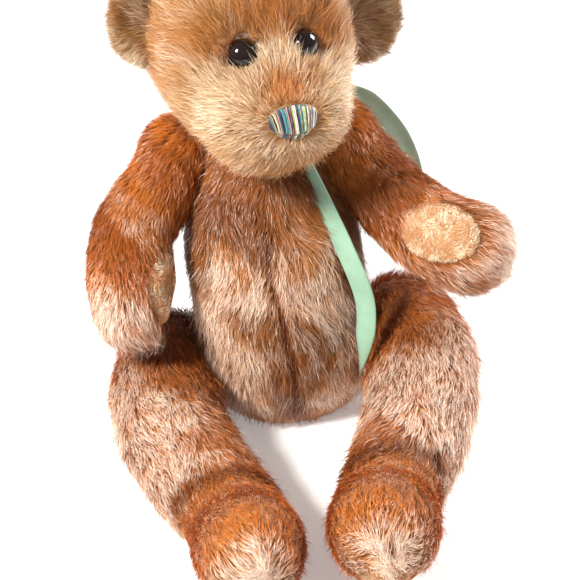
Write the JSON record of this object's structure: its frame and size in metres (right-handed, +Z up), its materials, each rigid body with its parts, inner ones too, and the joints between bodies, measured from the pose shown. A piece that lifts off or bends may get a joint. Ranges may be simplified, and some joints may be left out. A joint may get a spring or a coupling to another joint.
{
  "type": "jointed teddy bear",
  "caption": "Seated plush teddy bear with a turning head, swinging arms and legs, velvet pads, stitched nose and a sheer neck ribbon.",
  "frame": {"origin": "middle of the flat underside of the torso that the bear sits on", "axes": "+Z up, the bear faces -Y, its left side is +X"},
  "size_m": [0.1649, 0.2052, 0.1984],
  "materials": {
    "plush": "long silky pile, frosted tips",
    "head_plush": "long silky pile, pale tips",
    "stuffing": "loose polyester fibre",
    "velvet": "short velvet nap",
    "eye": "polished",
    "thread": "satin stitches in several colours",
    "joint": "moulded",
    "ribbon": "sheer organza with a woven edge"
  },
  "bodies": {
    "arm_left": {"arm_left_cover": "plush", "arm_left_joint_lock": "joint", "arm_left_joint_stem": "joint", "arm_left_stuffing": "stuffing", "paw_pad_left": "velvet"},
    "torso": {"arm_left_joint_washer": "joint", "arm_right_joint_washer": "joint", "leg_left_joint_washer": "joint", "leg_right_joint_washer": "joint", "neck_joint_washer": "joint", "ribbon_band": "ribbon", "ribbon_knot": "ribbon", "ribbon_loop": "ribbon", "ribbon_tail_back": "ribbon", "ribbon_tail_front": "ribbon", "torso_cover": "plush", "torso_stuffing": "stuffing"},
    "arm_right": {"arm_right_cover": "plush", "arm_right_joint_lock": "joint", "arm_right_joint_stem": "joint", "arm_right_stuffing": "stuffing", "paw_pad_right": "velvet"},
    "head": {"ear_left": "head_plush", "ear_right": "head_plush", "eye_left": "eye", "eye_right": "eye", "eye_washer_left": "joint", "eye_washer_right": "joint", "head_cover": "head_plush", "head_stuffing": "stuffing", "neck_joint_lock": "joint", "neck_joint_stem": "joint", "nose": "thread"},
    "leg_left": {"foot_pad_left": "velvet", "leg_left_cover": "plush", "leg_left_joint_lock": "joint", "leg_left_joint_stem": "joint", "leg_left_stuffing": "stuffing"},
    "leg_right": {"foot_pad_right": "velvet", "leg_right_cover": "plush", "leg_right_joint_lock": "joint", "leg_right_joint_stem": "joint", "leg_right_stuffing": "stuffing"}
  },
  "joints": [
    {"name": "neck", "type": "hinge", "parent": "torso", "child": "head", "pos_m": [0, 0.0274, 0.129], "axis": [0, 0, 1], "range_deg": [-40, 18]},
    {"name": "shoulder_left", "type": "hinge", "parent": "torso", "child": "arm_left", "pos_m": [0.0218, 0.022, 0.1075], "axis": [-0.9397, 0, -0.342], "range_deg": [-20, 60]},
    {"name": "shoulder_right", "type": "hinge", "parent": "torso", "child": "arm_right", "pos_m": [-0.0218, 0.022, 0.1075], "axis": [-0.9397, 0, 0.342], "range_deg": [-16, 60]},
    {"name": "hip_left", "type": "hinge", "parent": "torso", "child": "leg_left", "pos_m": [0.033, 0.002, 0.027], "axis": [-1, 0, 0], "range_deg": [-100, 12]},
    {"name": "hip_right", "type": "hinge", "parent": "torso", "child": "leg_right", "pos_m": [-0.033, 0.002, 0.027], "axis": [-1, 0, 0], "range_deg": [-100, 12]}
  ]
}
